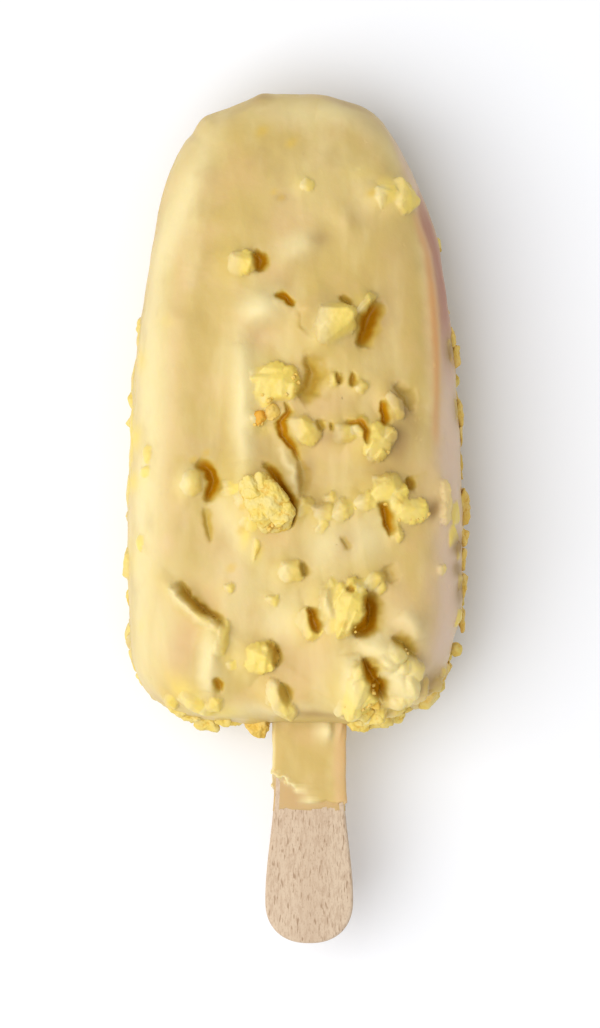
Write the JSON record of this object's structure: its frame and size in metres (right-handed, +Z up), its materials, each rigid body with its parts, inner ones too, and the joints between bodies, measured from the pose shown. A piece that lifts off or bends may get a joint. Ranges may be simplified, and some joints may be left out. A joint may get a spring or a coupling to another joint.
{
  "type": "ice lolly",
  "caption": "Cream-coloured ice cream lolly with a set coating full of chopped yellow crumbs, on a flat wooden stick, lying on its back.",
  "frame": {"origin": "on the surface that the lolly lies on, under the middle of its whole length and width", "axes": "+Z up, out of the face that shows; +Y along the lolly towards its rounded tip; the stick's handle is at -Y; +X to the right of the shown face"},
  "size_m": [0.0485, 0.118, 0.028],
  "materials": {
    "coating": "satin, pale yellow cream coating with crumbs",
    "stick": "bare, smooth, pale fine-grained wood"
  },
  "bodies": {
    "root": {"coated_ice_cream": "coating", "stick": "stick"}
  },
  "joints": []
}
